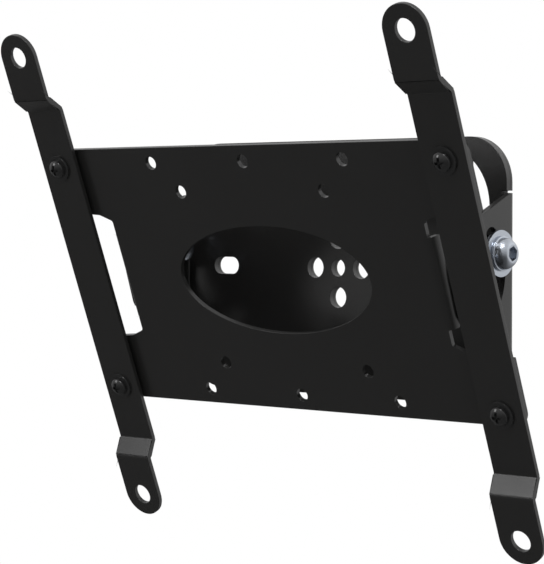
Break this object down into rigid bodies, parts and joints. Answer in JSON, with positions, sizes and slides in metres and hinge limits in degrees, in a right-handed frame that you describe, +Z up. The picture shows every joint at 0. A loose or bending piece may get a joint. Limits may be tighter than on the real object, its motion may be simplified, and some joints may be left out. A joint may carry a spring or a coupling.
{
  "type": "tilting tv wall mount",
  "caption": "Black steel tilting tv wall mount: wall plate and folded yoke, adapter plate with oval window, bolted upright arms, zinc clamp bolts in arc slots.",
  "frame": {"origin": "centre of the wall plate's back face, which lies on the wall", "axes": "+X to the right for someone who faces the mount and the wall, -Y out into the room, +Z up; the tilt axis runs along X"},
  "size_m": [0.2196, 0.0925, 0.2057],
  "materials": {
    "black_sheet": "semi-gloss black powder coat",
    "black_fixing": "black oxide, satin",
    "zinc_fixing": "bright zinc plate"
  },
  "bodies": {
    "wall_side": {"wall_plate": "black_sheet", "tilt_yoke": "black_sheet"},
    "tilt_head": {"adapter_plate": "black_sheet", "left_arm": "black_sheet", "right_arm": "black_sheet", "left_upper_spacer": "black_fixing", "left_lower_spacer": "black_fixing", "right_upper_spacer": "black_fixing", "right_lower_spacer": "black_fixing", "left_upper_washer": "black_fixing", "left_lower_washer": "black_fixing", "right_upper_washer": "black_fixing", "right_lower_washer": "black_fixing", "left_upper_screw": "black_fixing", "left_lower_screw": "black_fixing", "right_upper_screw": "black_fixing", "right_lower_screw": "black_fixing", "left_upper_nut": "black_fixing", "left_lower_nut": "black_fixing", "right_upper_nut": "black_fixing", "right_lower_nut": "black_fixing", "left_clamp_bolt": "zinc_fixing", "right_clamp_bolt": "zinc_fixing", "left_clamp_washer": "zinc_fixing", "right_clamp_washer": "zinc_fixing", "left_clamp_nut": "zinc_fixing", "right_clamp_nut": "zinc_fixing", "left_pivot_bolt": "zinc_fixing", "right_pivot_bolt": "zinc_fixing", "left_pivot_washer": "zinc_fixing", "right_pivot_washer": "zinc_fixing", "left_pivot_nut": "zinc_fixing", "right_pivot_nut": "zinc_fixing"}
  },
  "joints": [
    {"name": "tilt", "type": "hinge", "parent": "wall_side", "child": "tilt_head", "pos_m": [0, -0.03215, 0], "axis": [1, 0, 0], "range_deg": [-47.5, 5.5]}
  ]
}
